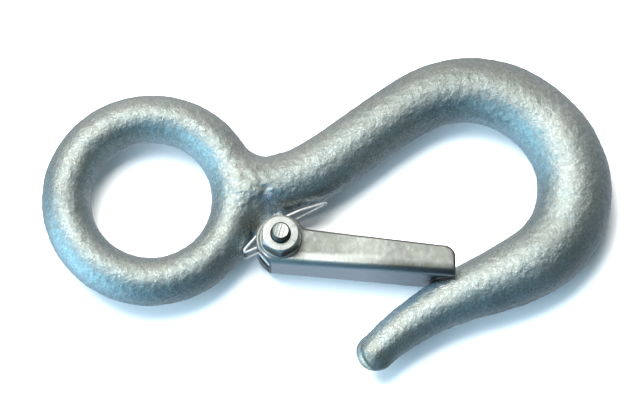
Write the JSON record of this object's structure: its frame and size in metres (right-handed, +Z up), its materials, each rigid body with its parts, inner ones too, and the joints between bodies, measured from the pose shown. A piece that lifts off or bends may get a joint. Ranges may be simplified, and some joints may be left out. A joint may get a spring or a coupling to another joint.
{
  "type": "forged eye hook with spring latch",
  "caption": "Galvanised forged steel hook with a closed round eye and a folded sheet latch that a wire spring holds shut across the throat.",
  "frame": {"origin": "middle of the hook's outline, on the flat surface it lies on with the nut side up; the eye's centre is 45.7 mm to -X, 3.4 mm to +Y and 9.0 mm up from it, on the hook's middle plane", "axes": "the hook's middle plane is parallel to XY, +X runs from the eye towards the bowl along the load line within about 2 degrees, +Y points to the shank side, +Z points up, out of the nut side of the latch pivot"},
  "size_m": [0.148, 0.0842, 0.0222],
  "materials": {
    "galvanised_forging": "hot-dip galvanised over a forged skin, granular and satin, silver grey",
    "latch_sheet": "satin stamped sheet, faintly mottled, sheared edges darker",
    "spring_wire": "bright drawn wire",
    "pivot_hardware": "bright zinc plate"
  },
  "bodies": {
    "hook": {"hook_forging": "galvanised_forging", "pivot_screw": "pivot_hardware", "pivot_nut": "pivot_hardware", "nut_washer": "pivot_hardware", "latch_spring": "spring_wire"},
    "latch": {"latch": "latch_sheet"}
  },
  "joints": [
    {"name": "latch_hinge", "type": "hinge", "parent": "hook", "child": "latch", "pos_m": [-0.0119, -0.0088, 0.009], "axis": [0, 0, 1], "range_deg": [0, 40], "stiffness_Nm_per_rad": 0.02, "springref_deg": -20.05, "deforming": ["latch_spring"]}
  ]
}
